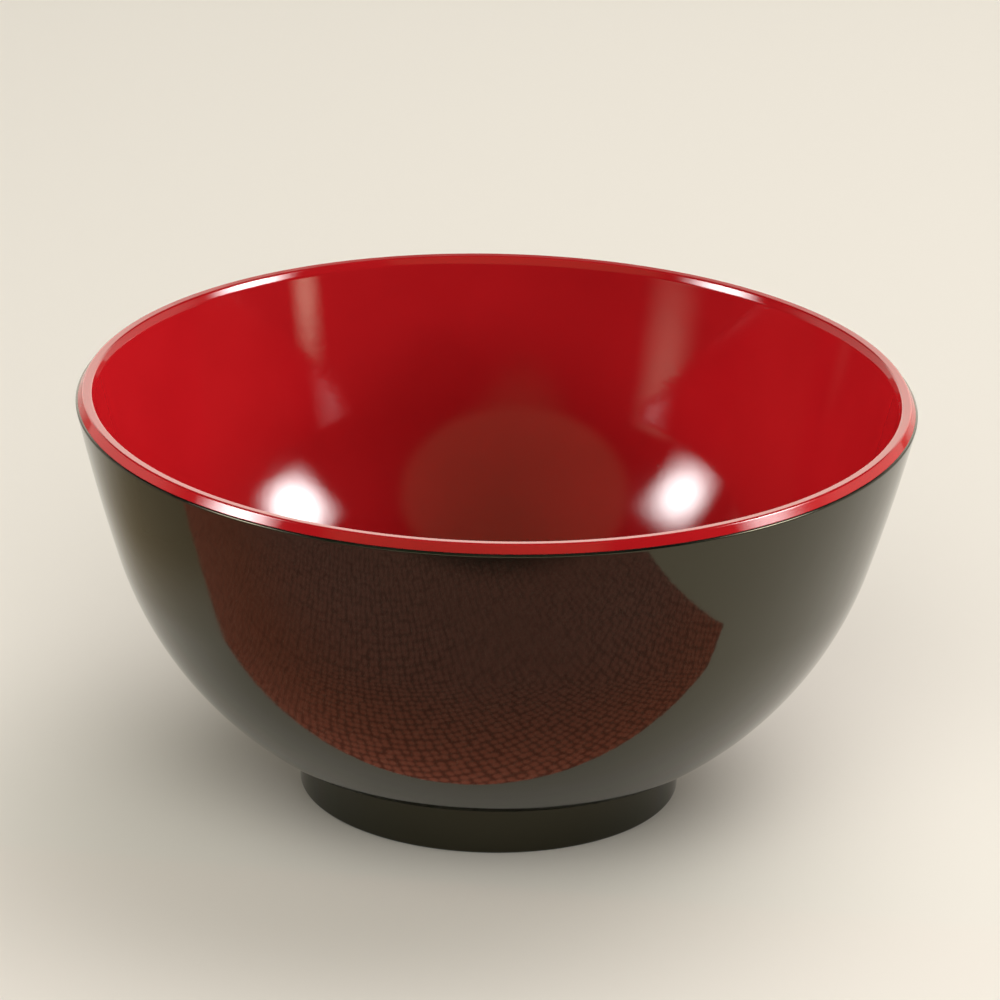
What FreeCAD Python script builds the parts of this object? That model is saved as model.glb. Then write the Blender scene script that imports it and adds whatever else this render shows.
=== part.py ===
import FreeCAD, Part
import os
import Sketcher
from math import cos, radians, sin, tan

# Two-tone rice bowl, compression moulded in melamine in two shots: a black
# outer shell with its foot ring, and a red liner that fills it and turns over
# the lip. Frame: millimetres, +Z up along the bowl's axis, origin at the
# centre of the foot's resting plane.

DIMENSIONS = {
    # outside of the bowl
    "rim_radius": 57.56,         # shell's top corner, before it is rounded
    "bowl_height": 57.5,         # to the lip's outer corner, before rounding
    "lip_lean": 13.17,           # degrees from vertical, at the shell's top
    "flare_radius": 290.0,       # nearly straight upper wall
    "flare_sweep": 4.23,         # degrees that the upper wall turns through
    "belly_radius": 51.4,        # round lower wall, tangent to the flare
    "belly_sweep": 36.8,
    "knuckle_radius": 4.0,       # turns the belly level above the foot ring
    # layers
    "shell_wall": 1.45,
    "liner_wall": 1.25,
    "inner_belly_radius": 41.2,  # tighter than outside, so the base is heavier
    # lip
    "shell_step": 1.2,           # shell ends this far below the top of the lip
    "shell_proud": 0.35,         # and stands out this far past the liner
    "lip_fall": 4.0,             # degrees that the lip slopes into the bowl
    "lip_outer_lean": 29.0,      # degrees from vertical, of the face outside it
    "lip_bevel_width": 0.3,      # bevel inside the lip, taken off its top
    "lip_bevel_drop": 0.89,      # and off the wall
    "lip_round": 0.35,           # both edges of the lip's top
    "bevel_foot_round": 1.5,     # where the bevel runs into the wall
    "shoulder_round": 0.28,
    # foot ring
    "foot_radius": 26.2,         # outside, at the resting plane
    "foot_draft": 4.0,           # degrees, wider towards the bowl
    "foot_width": 3.4,
    "recess_depth": 4.4,         # hollow inside the ring, under the base
    "recess_draft": 8.0,
    "foot_edge_round": 0.5,
    "foot_crease_round": 2.5,
    "recess_round": 1.5,
}

START, END, CENTRE = 1, 2, 3     # Sketcher's numbers for an element's points
NEAR = 0.05                      # how close an edge is to its stated corner, mm

# Formulas that several sketches share, in the sheet's aliases.
SHELL_TOP = "(dims.bowl_height - dims.shell_step)"
BELLY_LEAN = "(dims.lip_lean + dims.flare_sweep)"
WALL = "(dims.shell_wall + dims.liner_wall)"
FLARE_R = "(dims.rim_radius - dims.flare_radius * cos(dims.lip_lean))"
FLARE_Z = f"({SHELL_TOP} + dims.flare_radius * sin(dims.lip_lean))"


def make_sheet(doc):
    """Driving dimensions, one alias each, in millimetres and degrees."""
    sheet = doc.addObject("Spreadsheet::Sheet", "dims")
    for row, (alias, value) in enumerate(DIMENSIONS.items(), start=1):
        sheet.set(f"A{row}", alias)
        sheet.set(f"B{row}", str(value))
        sheet.setAlias(f"B{row}", alias)
    doc.recompute()
    return sheet


def origin_plane(body, role):
    return next(f for f in body.Origin.OriginFeatures if f.Role == role)


class Outline:
    """Closed half section in a body's XZ plane: x is radius, y is height."""

    def __init__(self, body, name, sheet):
        self.sheet = sheet
        self.sketch = body.newObject("Sketcher::SketchObject", name)
        self.sketch.AttachmentSupport = (origin_plane(body, "XZ_Plane"), [""])
        self.sketch.MapMode = "FlatFace"

    def value(self, formula):
        return float(self.sheet.evalExpression(str(formula)))

    def line(self, start, end):
        ends = [FreeCAD.Vector(*map(self.value, p), 0) for p in (start, end)]
        return self.sketch.addGeometry(Part.LineSegment(*ends), False)

    def arc(self, centre, radius, low_lean, high_lean):
        """Stretch of wall, from its low end to its high end. A lean is the
        wall's tilt from vertical, in degrees, at that end."""
        middle = FreeCAD.Vector(*map(self.value, centre), 0)
        circle = Part.Circle(middle, FreeCAD.Vector(0, 0, 1), self.value(radius))
        angles = [f"-({lean}) * pi / 180" for lean in (low_lean, high_lean)]
        curve = Part.ArcOfCircle(circle, *map(self.value, angles))
        index = self.sketch.addGeometry(curve, False)
        self.size("Radius", radius, index)
        return index

    def rule(self, *constraint):
        return self.sketch.addConstraint(Sketcher.Constraint(*constraint))

    def size(self, kind, formula, *elements):
        """Dimension constraint that follows the sheet."""
        index = self.rule(kind, *elements, self.value(formula))
        self.sketch.setExpression(f"Constraints[{index}]", formula)

    def across(self, formula, element, point):
        self.size("DistanceX", formula, -1, 1, element, point)

    def height(self, formula, element, point):
        self.size("DistanceY", formula, -1, 1, element, point)

    def draft(self, formula, element):
        """Lean of a straight wall from vertical, outwards as it rises."""
        index = self.rule("Angle", element, self.value(f"(90 - {formula}) * pi / 180"))
        self.sketch.setExpression(f"Constraints[{index}]", f"(90 - {formula}) * 1 deg")

    def close(self, count, smooth):
        """Join the elements end to end, with tangent joints after those in
        smooth. The last element is the one along the axis."""
        for index in range(count):
            kind = "Tangent" if index in smooth else "Coincident"
            self.rule(kind, index, END, (index + 1) % count, START)
        self.rule("Vertical", count - 1)

    def corner(self, element, point):
        place = self.sketch.getPoint(element, point)
        return place.x, place.y


def outside_outline(body, sheet):
    """Foot ring and outside wall, filled in to the axis."""
    knuckle_lean = f"({BELLY_LEAN} + dims.belly_sweep)"
    belly_reach = "(dims.flare_radius - dims.belly_radius)"
    belly_r = f"({FLARE_R} + {belly_reach} * cos({BELLY_LEAN}))"
    belly_z = f"({FLARE_Z} - {belly_reach} * sin({BELLY_LEAN}))"
    knuckle_reach = "(dims.belly_radius - dims.knuckle_radius)"
    knuckle_r = f"({belly_r} + {knuckle_reach} * cos({knuckle_lean}))"
    knuckle_z = f"({belly_z} - {knuckle_reach} * sin({knuckle_lean}))"
    crease_z = f"({knuckle_z} - dims.knuckle_radius)"
    crease_r = f"(dims.foot_radius + {crease_z} * tan(dims.foot_draft))"

    outline = Outline(body, "outside_outline", sheet)
    base = outline.line((0, 0), ("dims.foot_radius", 0))
    foot_wall = outline.line(("dims.foot_radius", 0), (crease_r, crease_z))
    underside = outline.line((crease_r, crease_z), (knuckle_r, crease_z))
    knuckle = outline.arc((knuckle_r, knuckle_z), "dims.knuckle_radius", 90, knuckle_lean)
    belly = outline.arc((belly_r, belly_z), "dims.belly_radius", knuckle_lean, BELLY_LEAN)
    flare = outline.arc((FLARE_R, FLARE_Z), "dims.flare_radius", BELLY_LEAN, "dims.lip_lean")
    top = outline.line(("dims.rim_radius", SHELL_TOP), (0, SHELL_TOP))
    outline.line((0, SHELL_TOP), (0, 0))
    outline.close(8, smooth=(underside, knuckle, belly))
    outline.rule("Coincident", base, START, -1, 1)
    for level in (base, underside, top):
        outline.rule("Horizontal", level)
    outline.across("dims.foot_radius", base, END)
    outline.draft("dims.foot_draft", foot_wall)
    outline.height(knuckle_z, knuckle, CENTRE)
    outline.height(belly_z, belly, CENTRE)
    outline.height(FLARE_Z, flare, CENTRE)
    outline.across("dims.rim_radius", flare, END)
    outline.height(SHELL_TOP, flare, END)
    return outline


def inside_outline(body, sheet, name, growth, top_height):
    """Hollow of the bowl, filled in to the axis, and grown outwards by
    growth: nothing for the inside of the liner, its wall for the outside."""
    flare_radius = f"(dims.flare_radius - {WALL} + {growth})"
    belly_radius = f"(dims.inner_belly_radius + {growth})"
    reach = f"(dims.flare_radius - {WALL} - dims.inner_belly_radius)"
    belly_r = f"({FLARE_R} + {reach} * cos({BELLY_LEAN}))"
    belly_z = f"({FLARE_Z} - {reach} * sin({BELLY_LEAN}))"
    floor = f"({belly_z} - {belly_radius})"
    top_lean = f"asin(({FLARE_Z} - {top_height}) / {flare_radius})"
    top_r = f"({FLARE_R} + {flare_radius} * cos({top_lean}))"

    outline = Outline(body, name, sheet)
    bottom = outline.line((0, floor), (belly_r, floor))
    belly = outline.arc((belly_r, belly_z), belly_radius, 90, BELLY_LEAN)
    flare = outline.arc((FLARE_R, FLARE_Z), flare_radius, BELLY_LEAN, top_lean)
    top = outline.line((top_r, top_height), (0, top_height))
    outline.line((0, top_height), (0, floor))
    outline.close(5, smooth=(bottom, belly))
    outline.rule("PointOnObject", bottom, START, -2)
    outline.rule("Horizontal", bottom)
    outline.rule("Horizontal", top)
    outline.height(belly_z, belly, CENTRE)
    outline.size("DistanceX", f"-{FLARE_R}", flare, CENTRE, -1, 1)
    outline.height(FLARE_Z, flare, CENTRE)
    outline.height(top_height, flare, END)
    return outline


def recess_outline(body, sheet):
    """Hollow inside the foot ring."""
    rim = "(dims.foot_radius - dims.foot_width)"
    ceiling = f"({rim} - dims.recess_depth * tan(dims.recess_draft))"
    outline = Outline(body, "recess_outline", sheet)
    mouth = outline.line((0, 0), (rim, 0))
    wall = outline.line((rim, 0), (ceiling, "dims.recess_depth"))
    roof = outline.line((ceiling, "dims.recess_depth"), (0, "dims.recess_depth"))
    outline.line((0, "dims.recess_depth"), (0, 0))
    outline.close(4, smooth=())
    outline.rule("Coincident", mouth, START, -1, 1)
    outline.rule("Horizontal", mouth)
    outline.rule("Horizontal", roof)
    outline.across(rim, mouth, END)
    outline.draft("-dims.recess_draft", wall)
    outline.height("dims.recess_depth", wall, END)
    return outline


def lip_outline(body, sheet):
    """Ring that turns over the shell's top. Its own top slopes inwards, and it
    starts inside the hollow, which is cut after it."""
    outer = "(dims.rim_radius - dims.shell_proud)"
    outer_top = f"({outer} - dims.shell_step * tan(dims.lip_outer_lean))"
    inner = f"({outer} - 2 * {WALL})"
    inner_top = f"(dims.bowl_height - ({outer_top} - {inner}) * tan(dims.lip_fall))"
    outline = Outline(body, "lip_outline", sheet)
    seat = outline.line((inner, SHELL_TOP), (outer, SHELL_TOP))
    outside = outline.line((outer, SHELL_TOP), (outer_top, "dims.bowl_height"))
    top = outline.line((outer_top, "dims.bowl_height"), (inner, inner_top))
    outline.line((inner, inner_top), (inner, SHELL_TOP))
    outline.close(4, smooth=())
    outline.rule("Horizontal", seat)
    outline.across(outer, seat, END)
    outline.across(inner, seat, START)
    outline.height(SHELL_TOP, seat, START)
    outline.draft("-dims.lip_outer_lean", outside)
    outline.height("dims.bowl_height", outside, END)
    outline.height(inner_top, top, END)
    return outline


def spin(body, kind, outline):
    """Revolution that adds, or Groove that cuts, about the bowl's axis."""
    feature = body.newObject(f"PartDesign::{kind}", f"{outline.sketch.Name}_{kind.lower()}")
    feature.Profile = outline.sketch
    feature.ReferenceAxis = (outline.sketch, ["V_Axis"])
    feature.Angle = 360
    outline.sketch.Visibility = False
    body.Document.recompute()
    return feature


def rings(whole, corners):
    """Names of the edges that run right round, through the section's corners."""
    edges = []
    for number, edge in enumerate(whole.Shape.Edges, start=1):
        box = edge.BoundBox
        for r, z in corners:
            level = abs(box.ZMin - z) < NEAR and abs(box.ZMax - z) < NEAR
            if level and box.XMin < 0 and abs(box.XMax - r) < NEAR:
                edges.append(f"Edge{number}")
    if len(edges) != len(corners):
        raise RuntimeError(f"{whole.Label}: found {edges} for {corners}")
    return edges


def round_rings(body, name, corners, radius):
    whole = body.Tip
    fillet = body.newObject("PartDesign::Fillet", name)
    fillet.Base = (whole, rings(whole, corners))
    fillet.setExpression("Radius", radius)
    body.Document.recompute()
    return fillet


def bevel_ring(body, name, corner, size, second_size):
    whole = body.Tip
    bevel = body.newObject("PartDesign::Chamfer", name)
    bevel.Base = (whole, rings(whole, [corner]))
    bevel.ChamferType = "Two distances"
    bevel.setExpression("Size", size)
    bevel.setExpression("Size2", second_size)
    body.Document.recompute()
    return bevel


def build_outer_shell(doc, sheet):
    """Black shell: the wall, the base and the foot ring are one moulding."""
    body = doc.addObject("PartDesign::Body", "outer_shell")
    outside = outside_outline(body, sheet)
    spin(body, "Revolution", outside)
    hollow = inside_outline(body, sheet, "liner_seat", "dims.liner_wall", SHELL_TOP)
    spin(body, "Groove", hollow)
    recess = recess_outline(body, sheet)
    spin(body, "Groove", recess)

    shoulder = outside.corner(5, END)
    foot_outer = outside.corner(0, END)
    foot_inner = recess.corner(0, END)
    round_rings(body, "shoulder_fillet", [shoulder], "dims.shoulder_round")
    round_rings(body, "crease_fillet", [outside.corner(1, END)], "dims.foot_crease_round")
    round_rings(body, "recess_fillet", [recess.corner(1, END)], "dims.recess_round")
    round_rings(body, "foot_fillet", [foot_outer, foot_inner], "dims.foot_edge_round")
    return body


def build_inner_liner(doc, sheet):
    """Red liner: fills the shell and turns over its top as the lip."""
    body = doc.addObject("PartDesign::Body", "inner_liner")
    outside = inside_outline(body, sheet, "shell_fit", "dims.liner_wall", SHELL_TOP)
    spin(body, "Revolution", outside)

    lip = lip_outline(body, sheet)
    spin(body, "Revolution", lip)
    hollow = inside_outline(body, sheet, "food_hollow", "0", "dims.bowl_height")
    spin(body, "Groove", hollow)

    outer_edge = lip.corner(1, END)
    wall_top = hollow.corner(2, END)
    fall, lean = radians(sheet.lip_fall), radians(sheet.lip_lean)
    inner_edge = (wall_top[0], outer_edge[1] - (outer_edge[0] - wall_top[0]) * tan(fall))
    bevel_ring(body, "lip_bevel", inner_edge, "dims.lip_bevel_width", "dims.lip_bevel_drop")
    width, drop = sheet.lip_bevel_width, sheet.lip_bevel_drop
    bevel_top = (inner_edge[0] + width * cos(fall), inner_edge[1] + width * sin(fall))
    bevel_foot = (inner_edge[0] - drop * sin(lean), inner_edge[1] - drop * cos(lean))
    round_rings(body, "lip_fillet", [outer_edge, bevel_top], "dims.lip_round")
    round_rings(body, "bevel_foot_fillet", [bevel_foot], "dims.bevel_foot_round")
    return body


def check(doc, bodies):
    for item in doc.Objects:
        if "Invalid" in item.State or "Error" in item.State:
            raise RuntimeError(f"{item.Label}: {item.State}")
    for body in bodies:
        if body.Shape.isNull() or not body.Shape.isValid():
            raise RuntimeError(f"{body.Label}: no valid shape")
        box = body.Shape.BoundBox
        print(f"{body.Label}: {body.Shape.Volume / 1000:.2f} cm3, "
              f"across {box.XLength:.2f} mm, z {box.ZMin:.2f} to {box.ZMax:.2f} mm")


doc = FreeCAD.newDocument("rice_bowl")
sheet = make_sheet(doc)
bodies = [build_outer_shell(doc, sheet), build_inner_liner(doc, sheet)]
doc.recompute()
check(doc, bodies)
os.makedirs("parts", exist_ok=True)
for body in bodies:
    body.Placement = FreeCAD.Placement()
    body.Shape.exportStep(f"parts/{body.Label}.step")
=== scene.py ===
from math import asin, cos, degrees, pi, radians, sin, tan

import bpy
from mathutils import Matrix, Quaternion, Vector


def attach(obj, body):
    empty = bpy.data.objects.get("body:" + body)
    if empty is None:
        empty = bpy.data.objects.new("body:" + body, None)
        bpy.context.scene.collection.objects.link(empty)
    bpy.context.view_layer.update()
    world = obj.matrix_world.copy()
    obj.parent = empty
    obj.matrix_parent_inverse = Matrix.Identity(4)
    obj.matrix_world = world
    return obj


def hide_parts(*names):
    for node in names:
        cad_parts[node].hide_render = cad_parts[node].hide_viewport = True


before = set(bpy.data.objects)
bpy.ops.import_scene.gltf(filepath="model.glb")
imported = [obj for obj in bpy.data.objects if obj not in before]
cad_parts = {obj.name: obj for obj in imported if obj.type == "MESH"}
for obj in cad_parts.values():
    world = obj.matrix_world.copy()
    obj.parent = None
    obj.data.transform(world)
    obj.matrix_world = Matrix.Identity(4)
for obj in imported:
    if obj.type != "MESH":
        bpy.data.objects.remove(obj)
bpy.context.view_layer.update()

# Two-tone melamine rice bowl. Its two CAD nodes are replaced by finer bodies
# of revolution of the same size: a black outer shell with its foot ring, and
# a red liner that turns over the lip.

MM = 0.001

# Driving dimensions as in the CAD model, in millimetres and degrees. A lean is
# a wall's tilt from vertical.
RIM_RADIUS, BOWL_HEIGHT = 57.56, 57.5
LIP_LEAN, FLARE_SWEEP, BELLY_SWEEP = 13.17, 4.23, 36.8
FLARE_RADIUS, BELLY_RADIUS, KNUCKLE_RADIUS = 290.0, 51.4, 4.0
SHELL_WALL, LINER_WALL, INNER_BELLY_RADIUS = 1.45, 1.25, 41.2
SHELL_STEP, SHELL_PROUD, SHOULDER_ROUND = 1.2, 0.35, 0.28
LIP_FALL, LIP_OUTER_LEAN, LIP_ROUND = 4.0, 29.0, 0.35
LIP_BEVEL_WIDTH, LIP_BEVEL_DROP, BEVEL_FOOT_ROUND = 0.3, 0.89, 1.5
FOOT_RADIUS, FOOT_DRAFT, FOOT_WIDTH = 26.2, 4.0, 3.4
FOOT_EDGE_ROUND, FOOT_CREASE_ROUND = 0.5, 2.5
RECESS_DEPTH, RECESS_DRAFT, RECESS_ROUND = 4.4, 8.0, 1.5

SHELL_TOP = BOWL_HEIGHT - SHELL_STEP
WALL = SHELL_WALL + LINER_WALL
BELLY_LEAN = LIP_LEAN + FLARE_SWEEP
KNUCKLE_LEAN = BELLY_LEAN + BELLY_SWEEP
SKIN_GAP = 0.02       # keeps the liner's hidden back off the shell
HOLD = 0.06           # from a bend to the point that keeps the straight beside it flat
NEAR_DOUBLE = 0.005   # points of an outline that are closer are one point
TURNS = 288           # steps of the lathe round the axis
GIRTH = 0.36          # metres round the lip, for the UV map
GLAZE_IOR = 1.6       # clear melamine
PEEL_DEPTH = 0.010    # millimetres from top to bottom of the glaze's orange peel
SOFTBOX_REACH = 0.9   # metres from the bowl to a light
FLOOR_REACH = 3.0     # metres from the bowl to the floor's edge
GLOW_EDGE = 3         # degrees of fading on each side of a round glow's edge
WARM = (1, 0.95, 0.70)

# The mat that shows in the front of the shell, and the painted shade of the floor
# that shows in its left side, in millimetres. Within MAT_FADE of MAT_NEAR the mat
# darkens towards the camera, and over MAT_SHIFT its colour changes. The painted
# floor shade fades in between each two of FLOOR_SHADE_ACROSS and FLOOR_SHADE_DEEP.
MAT_CORNERS = ((-140, -16.5), (71, -46.5), (53, -124), (-140, -124))
MAT_NEAR, MAT_FADE, MAT_SHIFT, MAT_HEIGHT = -104, 6, (-85, -40), 0.4
FLOOR_SHADE_CORNERS = ((-400, -200), (-60, -200), (-60, 110), (-400, 110))
FLOOR_SHADE_ACROSS, FLOOR_SHADE_DEEP, FLOOR_SHADE_HEIGHT = (-65, -100), (100, 20), 0.2


# ---------------------------------------------------------------- outlines
# Half sections as (radius, height), from the axis round to the axis.

def spoke(radius, lean):
    return Vector((radius * cos(radians(lean)), -radius * sin(radians(lean))))


FLARE_CENTRE = Vector((RIM_RADIUS, SHELL_TOP)) - spoke(FLARE_RADIUS, LIP_LEAN)
BELLY_CENTRE = FLARE_CENTRE + spoke(FLARE_RADIUS - BELLY_RADIUS, BELLY_LEAN)
KNUCKLE_CENTRE = BELLY_CENTRE + spoke(BELLY_RADIUS - KNUCKLE_RADIUS, KNUCKLE_LEAN)
INNER_CENTRE = FLARE_CENTRE + spoke(FLARE_RADIUS - WALL - INNER_BELLY_RADIUS, BELLY_LEAN)


def arc(centre, radius, start_lean, end_lean, steps):
    leans = [start_lean + (end_lean - start_lean) * i / steps for i in range(steps + 1)]
    return [centre + spoke(radius, lean) for lean in leans]


def corner(before, place, after, radius, steps=8):
    """The corner at place between two runs, rounded."""
    to_before, to_after = (before - place).normalized(), (after - place).normalized()
    half = to_before.angle(to_after) / 2
    middle = place + (to_before + to_after).normalized() * (radius / sin(half))
    first = place + to_before * (radius / tan(half)) - middle
    last = place + to_after * (radius / tan(half)) - middle
    sweep = first.angle_signed(last)
    return [middle + Matrix.Rotation(-sweep * i / steps, 2) @ first for i in range(steps + 1)]


def chain(*stretches):
    """Rounded corners and arcs in one outline, without doubles. A straight
    between two of them gets a point close to each of its ends."""
    points = list(stretches[0])
    for stretch in stretches[1:]:
        gap = stretch[0] - points[-1]
        if gap.length > 4 * HOLD:
            points += [points[-1] + gap.normalized() * HOLD, stretch[0] - gap.normalized() * HOLD]
        points += [p for p in stretch if (p - points[-1]).length > NEAR_DOUBLE]
    return points


def inside_wall(growth, top):
    """Hollow of the bowl from its rim at height top down to the axis, grown
    outwards by growth."""
    radius = FLARE_RADIUS - WALL + growth
    top_lean = degrees(asin((FLARE_CENTRE.y - top) / radius))
    flare = arc(FLARE_CENTRE, radius, top_lean, BELLY_LEAN, 20)
    belly = arc(INNER_CENTRE, INNER_BELLY_RADIUS + growth, BELLY_LEAN, 90, 48)
    floor = [Vector((0, belly[-1].y))]
    return chain(flare, belly, floor)


def shell_outline():
    foot_in, foot_out = Vector((FOOT_RADIUS - FOOT_WIDTH, 0)), Vector((FOOT_RADIUS, 0))
    roof_radius = foot_in.x - RECESS_DEPTH * tan(radians(RECESS_DRAFT))
    roof_mid, roof = Vector((0, RECESS_DEPTH)), Vector((roof_radius, RECESS_DEPTH))
    crease_height = KNUCKLE_CENTRE.y - KNUCKLE_RADIUS
    crease = Vector((FOOT_RADIUS + crease_height * tan(radians(FOOT_DRAFT)), crease_height))
    under = Vector((KNUCKLE_CENTRE.x, crease_height))
    shoulder = Vector((RIM_RADIUS, SHELL_TOP))
    flare = arc(FLARE_CENTRE, FLARE_RADIUS, BELLY_LEAN, LIP_LEAN, 24)
    seat = inside_wall(LINER_WALL + SKIN_GAP, SHELL_TOP)
    return chain(
        [roof_mid],
        corner(roof_mid, roof, foot_in, RECESS_ROUND),
        corner(roof, foot_in, foot_out, FOOT_EDGE_ROUND),
        corner(foot_in, foot_out, crease, FOOT_EDGE_ROUND),
        corner(foot_out, crease, under, FOOT_CREASE_ROUND),
        arc(KNUCKLE_CENTRE, KNUCKLE_RADIUS, 90, KNUCKLE_LEAN, 12),
        arc(BELLY_CENTRE, BELLY_RADIUS, KNUCKLE_LEAN, BELLY_LEAN, 48),
        flare[:-1],
        corner(flare[-2], shoulder, seat[0], SHOULDER_ROUND),
        seat,
    )


def liner_outline():
    back = list(reversed(inside_wall(LINER_WALL, SHELL_TOP)))
    lip_low = Vector((RIM_RADIUS - SHELL_PROUD, SHELL_TOP))
    lip_out = Vector((lip_low.x - SHELL_STEP * tan(radians(LIP_OUTER_LEAN)), BOWL_HEIGHT))
    fall = Vector((cos(radians(LIP_FALL)), sin(radians(LIP_FALL))))
    lip_width = lip_out.x - inside_wall(0, BOWL_HEIGHT)[0].x
    edge = inside_wall(0, BOWL_HEIGHT - lip_width * tan(radians(LIP_FALL)))[0]
    bevel_top = edge + fall * LIP_BEVEL_WIDTH
    hollow = inside_wall(0, edge.y - LIP_BEVEL_DROP * cos(radians(LIP_LEAN)))
    return chain(
        back,
        [lip_low],
        corner(lip_low, lip_out, bevel_top, LIP_ROUND),
        corner(lip_out, bevel_top, hollow[0], LIP_ROUND),
        corner(bevel_top, hollow[0], hollow[1], BEVEL_FOOT_ROUND),
        hollow[1:],
    )


# ------------------------------------------------------------------ meshes

def lathe(name, outline, material):
    """Closed body of revolution about Z, with an even UV map."""
    rim = outline[1:-1]
    vertices = [(0, 0, outline[0].y * MM), (0, 0, outline[-1].y * MM)]
    for turn in range(TURNS):
        angle = 2 * pi * turn / TURNS
        vertices += [(p.x * cos(angle) * MM, p.x * sin(angle) * MM, p.y * MM) for p in rim]
    travel = [0.0]
    for a, b in zip(outline, outline[1:]):
        travel.append(travel[-1] + (b - a).length * MM)

    faces, uvs = [], []
    for turn in range(TURNS):
        here, there = 2 + turn * len(rim), 2 + (turn + 1) % TURNS * len(rim)
        u0, u1 = turn / TURNS * GIRTH, (turn + 1) / TURNS * GIRTH
        faces.append((0, there, here))
        uvs.append(((u0, 0), (u1, travel[1]), (u0, travel[1])))
        for i in range(len(rim) - 1):
            faces.append((here + i, there + i, there + i + 1, here + i + 1))
            low, high = travel[i + 1], travel[i + 2]
            uvs.append(((u0, low), (u1, low), (u1, high), (u0, high)))
        faces.append((1, here + len(rim) - 1, there + len(rim) - 1))
        uvs.append(((u0, travel[-1]), (u0, travel[-2]), (u1, travel[-2])))

    mesh = bpy.data.meshes.new(name)
    mesh.from_pydata(vertices, [], faces)
    layer = mesh.uv_layers.new(name="UVMap")
    layer.data.foreach_set("uv", [c for face in uvs for place in face for c in place])
    mesh.shade_smooth()
    mesh.materials.append(material)
    mesh.update()
    piece = bpy.data.objects.new(name, mesh)
    bpy.context.collection.objects.link(piece)
    return piece


# --------------------------------------------------------------- materials

def new_material(name):
    material = bpy.data.materials.new(name)
    material.use_nodes = True
    tree = material.node_tree
    return material, tree, tree.nodes["Principled BSDF"]


def node(tree, kind, settings=None, **inputs):
    """New node with its settings, and with inputs that are values or outputs."""
    made = tree.nodes.new(kind)
    for name, value in (settings or {}).items():
        setattr(made, name, value)
    for name, value in inputs.items():
        socket = made.inputs[name.replace("_", " ")]
        if isinstance(value, bpy.types.NodeSocket):
            tree.links.new(value, socket)
        else:
            socket.default_value = value
    return made


def ramp(tree, value, start, end, low=0.0, high=1.0):
    """Smooth step of value, from low at start to high at end."""
    made = node(tree, "ShaderNodeMapRange", {"interpolation_type": "SMOOTHSTEP"}, Value=value)
    for name, number in (("From Min", start), ("From Max", end), ("To Min", low), ("To Max", high)):
        made.inputs[name].default_value = number
    return made.outputs["Result"]


def arithmetic(tree, operation, values):
    """The values, numbers or outputs, put together two at a time."""
    result = values[0]
    for value in values[1:]:
        made = node(tree, "ShaderNodeMath", {"operation": operation})
        for socket, term in zip(made.inputs, (result, value)):
            if isinstance(term, bpy.types.NodeSocket):
                tree.links.new(term, socket)
            else:
                socket.default_value = term
        result = made.outputs["Value"]
    return result


def product(tree, *values):
    return arithmetic(tree, "MULTIPLY", values)


def total(tree, *values):
    return arithmetic(tree, "ADD", values)


def noise(tree, place, scale, detail=2.0):
    """Noise of place, with scale features to the metre."""
    return node(tree, "ShaderNodeTexNoise", Vector=place, Scale=scale, Detail=detail).outputs[0]


def blend(tree, amount, first, second):
    """Colour between first at 0 and second at 1."""
    made = node(tree, "ShaderNodeMix", {"data_type": "RGBA"})
    tree.links.new(amount, made.inputs["Factor"])
    for socket, colour in zip(made.inputs[6:8], (first, second)):
        if isinstance(colour, bpy.types.NodeSocket):
            tree.links.new(colour, socket)
        else:
            socket.default_value = (*colour, 1)
    return made.outputs[2]


def hairlines(tree, place, turn):
    """Sparse thin scratches, about 15 mm long, that run at the given turn."""
    tilted = node(tree, "ShaderNodeMapping", Vector=place, Rotation=turn, Scale=(60, 2600, 2600))
    return ramp(tree, noise(tree, tilted.outputs[0], 1.0, 0.0), 0.80, 0.86)


def rings(tree, place):
    """Fine concentric rub marks about the axis."""
    level = node(tree, "ShaderNodeVectorMath", {"operation": "MULTIPLY"})
    tree.links.new(place, level.inputs[0])
    level.inputs[1].default_value = (1, 1, 0)
    radius = node(tree, "ShaderNodeVectorMath", {"operation": "LENGTH"})
    tree.links.new(level.outputs["Vector"], radius.inputs[0])
    fine = node(tree, "ShaderNodeTexNoise", {"noise_dimensions": "1D"}, Scale=3200.0, Detail=3.0)
    tree.links.new(radius.outputs["Value"], fine.inputs["W"])
    return ramp(tree, fine.outputs[0], 0.42, 0.66)


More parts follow.
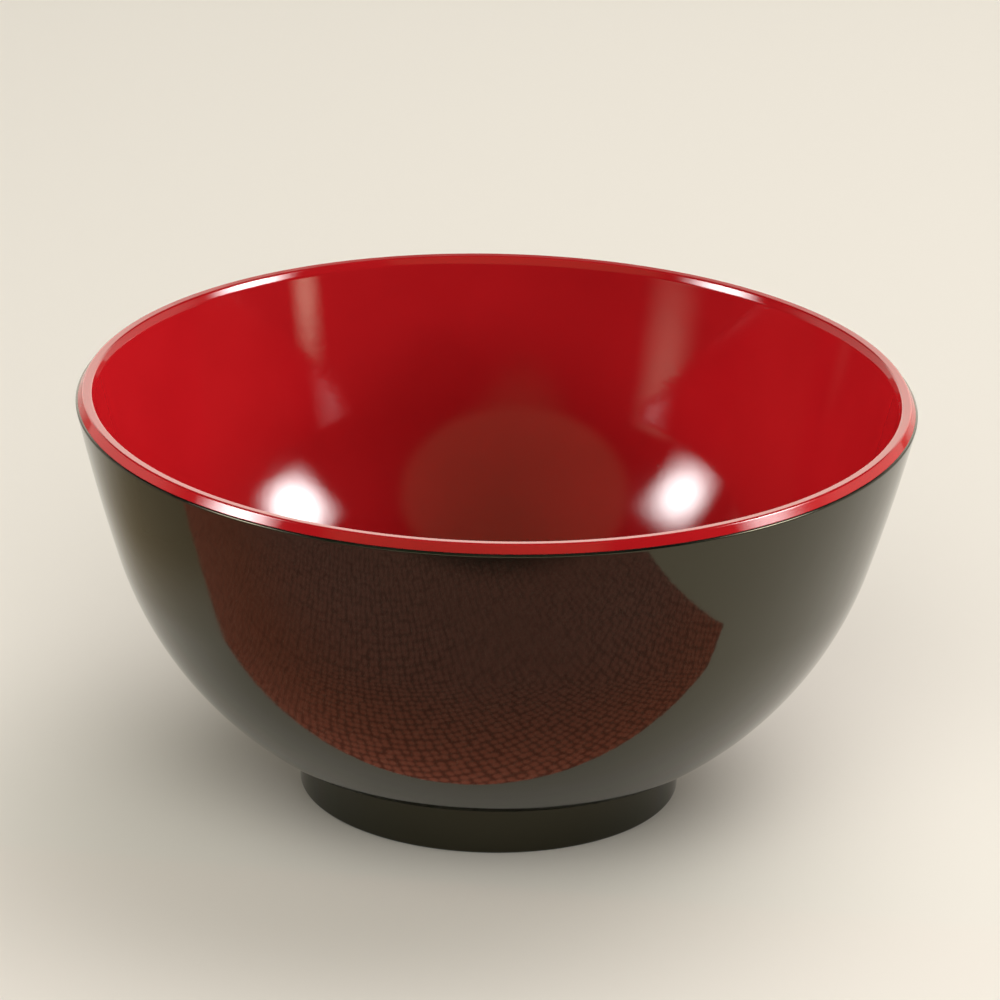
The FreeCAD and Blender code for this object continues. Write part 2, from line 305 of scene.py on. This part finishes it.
def melamine(name, colour, deep, rubbed, dull_spans):
    """Moulded melamine under a clear glaze. Its colour drifts a little towards
    deep. The glaze has a faint orange peel, smudges and hairline scratches. In
    each of dull_spans it is rubbed, from its first height on to its second."""
    material, tree, shader = new_material(name)
    place = node(tree, "ShaderNodeTexCoord").outputs["Object"]
    height = node(tree, "ShaderNodeSeparateXYZ", Vector=place).outputs["Z"]
    drift = ramp(tree, noise(tree, place, 70.0, 4.0), 0.35, 0.70)
    patchy = ramp(tree, noise(tree, place, 260.0, 3.0), 0.25, 0.60)
    spans = [ramp(tree, height, start * MM, full * MM) for start, full in dull_spans]
    worn = product(tree, total(tree, *spans), patchy)
    rub = product(tree, worn, rings(tree, place))
    body = blend(tree, drift, colour, deep)
    tree.links.new(blend(tree, rub, body, rubbed), shader.inputs["Base Color"])

    smudge = ramp(tree, noise(tree, place, 38.0, 5.0), 0.45, 0.75, 0.0, 0.045)
    grain = ramp(tree, noise(tree, place, 5200.0, 1.0), 0.30, 0.70, 0.045, 0.065)
    scratch = total(tree, hairlines(tree, place, (0.3, 0.5, 0.9)), hairlines(tree, place, (1.1, -0.6, 2.2)))
    dulled = total(tree, product(tree, scratch, 0.06), product(tree, worn, 0.10), product(tree, rub, 0.15))
    tree.links.new(total(tree, smudge, grain, dulled), shader.inputs["Roughness"])
    shader.inputs["IOR"].default_value = GLAZE_IOR

    worn_off = total(tree, product(tree, scratch, -0.03), product(tree, rub, -0.3))
    peel = total(tree, noise(tree, place, 330.0, 2.0), worn_off)
    bump = node(tree, "ShaderNodeBump", Strength=1.0, Distance=PEEL_DEPTH * MM, Height=peel)
    tree.links.new(bump.outputs["Normal"], shader.inputs["Normal"])
    return material, shader


def black_melamine():
    """Black with warm reflections, dull where the foot ring rests and at the
    trimmed top edge."""
    material, shader = melamine(
        "black_melamine", (0.0036, 0.0050, 0.0036), (0.0052, 0.0066, 0.0050), (0.020, 0.020, 0.018),
        ((0.8, 0.1), (SHELL_TOP - 0.7, SHELL_TOP - 0.2)),
    )
    shader.inputs["Specular Tint"].default_value = (1.0, 0.90, 0.62, 1)
    return material


def red_melamine():
    """Red, a little dulled on the floor of the bowl by spoons."""
    material, _ = melamine(
        "red_melamine", (0.440, 0.0080, 0.0115), (0.410, 0.0068, 0.0100), (0.46, 0.014, 0.018),
        ((15.0, 7.5),),
    )
    return material


# ------------------------------------------------------------------- stage

def plane(name, corners, material):
    mesh = bpy.data.meshes.new(name)
    mesh.from_pydata(corners, [], [tuple(range(len(corners)))])
    mesh.materials.append(material)
    mesh.update()
    piece = bpy.data.objects.new(name, mesh)
    bpy.context.collection.objects.link(piece)
    return piece


def make_floor():
    material, tree, shader = new_material("floor_paper")
    shader.inputs["Base Color"].default_value = (0.80, 0.735, 0.665, 1)
    shader.inputs["Roughness"].default_value = 0.7
    shader.inputs["Specular IOR Level"].default_value = 0.1
    corners = [(x * FLOOR_REACH, y * FLOOR_REACH, 0) for x, y in ((-1, -1), (1, -1), (1, 1), (-1, 1))]
    return plane("floor", corners, material)


def flat_at(height, corners):
    """Corners in metres, from corners and a height in millimetres."""
    return [(x * MM, y * MM, height * MM) for x, y in corners]


def bare_material(name):
    material = bpy.data.materials.new(name)
    material.use_nodes = True
    material.node_tree.nodes.clear()
    return material, material.node_tree


def only_reflected(piece):
    piece.visible_camera = False
    piece.visible_diffuse = False
    piece.visible_shadow = False
    piece.visible_transmission = False


def make_mat():
    """The mat that the bowl reflects, woven in cells of about 2 mm. Only its
    reflection shows."""
    material, tree = bare_material("mat_reflection")
    place = node(tree, "ShaderNodeTexCoord").outputs["Object"]
    depth = node(tree, "ShaderNodeSeparateXYZ", Vector=place).outputs["Y"]
    weave = node(tree, "ShaderNodeMapping", Vector=place, Rotation=(0, 0, 0.5), Scale=(520, 560, 520))
    cells = node(tree, "ShaderNodeTexVoronoi", Vector=weave.outputs[0], Scale=1.0, Randomness=0.35)
    knot = ramp(tree, cells.outputs["Distance"], 0.60, 0.25, 0.58, 1.22)
    shift = ramp(tree, depth, *[y * MM for y in MAT_SHIFT])
    colour = blend(tree, shift, (0.64, 0.27, 0.25), (0.72, 0.215, 0.14))
    edge = ramp(tree, depth, (MAT_NEAR - MAT_FADE) * MM, (MAT_NEAR + MAT_FADE) * MM, 0.1, 1.0)
    shine = node(tree, "ShaderNodeEmission", Color=colour, Strength=product(tree, knot, edge))
    output = node(tree, "ShaderNodeOutputMaterial")
    tree.links.new(shine.outputs["Emission"], output.inputs["Surface"])
    only_reflected(plane("mat_reflection", flat_at(MAT_HEIGHT, MAT_CORNERS), material))


def make_floor_shade_card():
    """Painted shade: a glowing sheet on the table to the left, with soft edges,
    that stands in for the darker, shaded floor there. Only its reflection shows."""
    material, tree = bare_material("floor_shade_reflection")
    place = node(tree, "ShaderNodeTexCoord").outputs["Object"]
    parts = node(tree, "ShaderNodeSeparateXYZ", Vector=place)
    across = ramp(tree, parts.outputs["X"], *[x * MM for x in FLOOR_SHADE_ACROSS])
    deep = ramp(tree, parts.outputs["Y"], *[y * MM for y in FLOOR_SHADE_DEEP])
    cover = node(tree, "ShaderNodeMixShader", Fac=product(tree, across, deep))
    # Painted shade: this dim brown glow stands for the darker, shaded floor to the left, and shows only in
    # reflections.
    shine = node(tree, "ShaderNodeEmission", Color=(0.44, 0.35, 0.22, 1))
    tree.links.new(node(tree, "ShaderNodeBsdfTransparent").outputs["BSDF"], cover.inputs[1])
    tree.links.new(shine.outputs["Emission"], cover.inputs[2])
    output = node(tree, "ShaderNodeOutputMaterial")
    tree.links.new(cover.outputs["Shader"], output.inputs["Surface"])
    only_reflected(plane("floor_shade_reflection", flat_at(FLOOR_SHADE_HEIGHT, FLOOR_SHADE_CORNERS), material))


def softbox(name, azimuth, elevation, size, radiance, colour=(1, 1, 1)):
    """Soft light aimed at the bowl, SOFTBOX_REACH away. Azimuth 0 is behind
    the bowl, 90 to its right. size is its width and height in degrees, seen
    from the bowl. Its light fades from radiance in the middle to the edges."""
    a, e = radians(azimuth), radians(elevation)
    aim = Vector((0, 0, BOWL_HEIGHT / 2 * MM))
    away = Vector((sin(a) * cos(e), cos(a) * cos(e), sin(e)))
    light = bpy.data.lights.new(name, "AREA")
    light.shape = "RECTANGLE"
    light.size, light.size_y = [2 * SOFTBOX_REACH * tan(radians(side / 2)) for side in size]
    light.color = colour
    light.energy = radiance * pi * light.size * light.size_y
    light.use_nodes = True
    tree = light.node_tree
    spot = node(tree, "ShaderNodeNewGeometry").outputs["Parametric"]
    centred = node(tree, "ShaderNodeVectorMath", {"operation": "SUBTRACT"})
    tree.links.new(spot, centred.inputs[0])
    centred.inputs[1].default_value = (0.5, 0.5, 0.0)
    away_from_middle = node(tree, "ShaderNodeVectorMath", {"operation": "ABSOLUTE"})
    tree.links.new(centred.outputs["Vector"], away_from_middle.inputs[0])
    reach = node(tree, "ShaderNodeSeparateXYZ", Vector=away_from_middle.outputs["Vector"])
    fades = [ramp(tree, reach.outputs[axis], 0.5, 0.0) for axis in "XY"]
    tree.links.new(product(tree, *fades), tree.nodes["Emission"].inputs["Strength"])
    lamp = bpy.data.objects.new(name, light)
    lamp.location = aim + away * SOFTBOX_REACH
    lamp.rotation_mode = "QUATERNION"
    lamp.rotation_quaternion = away.to_track_quat("Z", "Y")
    lamp.visible_camera = False
    bpy.context.collection.objects.link(lamp)
    return lamp


def glow(tree, colour, power):
    return node(tree, "ShaderNodeBackground", Color=(*colour, 1), Strength=power)


def low_behind(tree, direction):
    """How far a direction is in a band low behind the bowl, and how far it is
    in the middle of that band."""
    parts = node(tree, "ShaderNodeSeparateXYZ", Vector=direction)
    across = node(tree, "ShaderNodeMath", {"operation": "ABSOLUTE"})
    tree.links.new(parts.outputs["X"], across.inputs[0])
    depth = ramp(tree, parts.outputs["Y"], 0.0, 0.3)
    height = ramp(tree, parts.outputs["Z"], 0.48, 0.38)
    width = ramp(tree, across.outputs["Value"], 0.60, 0.40)
    return product(tree, depth, height), product(tree, width, depth, height)


def round_glow(tree, direction, colour, strength, azimuth, elevation, radius):
    """A round patch of light of the given radius in degrees."""
    a, e = radians(azimuth), radians(elevation)
    facing = node(tree, "ShaderNodeVectorMath", {"operation": "DOT_PRODUCT"})
    tree.links.new(direction, facing.inputs[0])
    facing.inputs[1].default_value = (sin(a) * cos(e), cos(a) * cos(e), sin(e))
    edge = [cos(radians(radius + spread)) for spread in (GLOW_EDGE, -GLOW_EDGE)]
    return glow(tree, colour, product(tree, ramp(tree, facing.outputs["Value"], *edge), strength))


def make_world():
    """Dim room, with a pale sweep behind the bowl, a brighter band low in the
    middle of it, and a dim greenish ceiling over the camera."""
    world = bpy.data.worlds.new("studio")
    world.use_nodes = True
    tree = world.node_tree
    light = tree.nodes["Background"]
    light.inputs["Color"].default_value = (1.0, 0.86, 0.66, 1)
    light.inputs["Strength"].default_value = 0.02
    direction = node(tree, "ShaderNodeTexCoord").outputs["Generated"]
    band, middle = low_behind(tree, direction)
    for patch in (
        glow(tree, (1.0, 0.92, 0.80), product(tree, band, 0.7)),
        glow(tree, (1.0, 0.95, 0.84), product(tree, middle, 1.4)),
        round_glow(tree, direction, (0.55, 1.0, 0.5), 0.23, -171, 47, 33.5),
    ):
        both = node(tree, "ShaderNodeAddShader")
        tree.links.new(light.outputs[0], both.inputs[0])
        tree.links.new(patch.outputs[0], both.inputs[1])
        light = both
    tree.links.new(light.outputs[0], tree.nodes["World Output"].inputs["Surface"])
    bpy.context.scene.world = world


def light_only(lamp, pieces):
    """Keeps a lamp's light to the given pieces. The bowl still shades them."""
    lit = bpy.data.collections.new(lamp.name + "_lights")
    for piece in pieces:
        lit.objects.link(piece)
    lamp.light_linking.receiver_collection = lit


def make_camera():
    """22 degrees above the bowl, from 1 m, with a long lens. The bowl sits low
    and a little left in the frame, and leans clockwise by the roll."""
    elevation, distance, lens, roll = radians(22.04), 1.0, 260.8, radians(1.28)
    drop, left = radians(0.680), radians(0.042)
    target = Vector((0, 0, BOWL_HEIGHT / 2 * MM))
    back = Vector((0, -cos(elevation), sin(elevation)))
    data = bpy.data.cameras.new("camera")
    data.lens = lens
    camera = bpy.data.objects.new("camera", data)
    camera.location = target + back * distance
    camera.rotation_mode = "QUATERNION"
    level = back.to_track_quat("Z", "Y")
    tilt = Quaternion((1, 0, 0), drop)
    pan = Quaternion((0, 1, 0), -left)
    camera.rotation_quaternion = level @ tilt @ pan @ Quaternion((0, 0, 1), roll)
    bpy.context.collection.objects.link(camera)
    bpy.context.scene.camera = camera


shell = lathe("shell_body", shell_outline(), black_melamine())
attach(shell, "root")
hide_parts("outer_shell")
liner = lathe("liner_body", liner_outline(), red_melamine())
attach(liner, "root")
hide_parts("inner_liner")

floor = make_floor()
make_mat()
make_floor_shade_card()
for lamp in (
    softbox("softbox_right", 96, 33, (29, 28), 37),
    softbox("softbox_left", -106, 30, (26, 31), 26),
    softbox("strip_right", 120.5, 6.3, (12, 8), 2.8, WARM),
    softbox("strip_left", -126, 10.5, (22, 14), 1.2, WARM),
):
    light_only(lamp, [shell, liner])
# These two light the upper walls and have no reflection.
for lamp in (
    softbox("wall_fill_right", 96, 16, (30, 16), 40),
    softbox("wall_fill_left", -106, 16, (30, 16), 30),
):
    light_only(lamp, [liner])
    lamp.visible_glossy = False
for lamp in (
    softbox("floor_key", 40, 60, (80, 80), 3.7),
    softbox("floor_fill", 180, 40, (80, 80), 4.4),
):
    light_only(lamp, [floor])
make_world()
make_camera()
bpy.context.scene.view_settings.view_transform = "Standard"
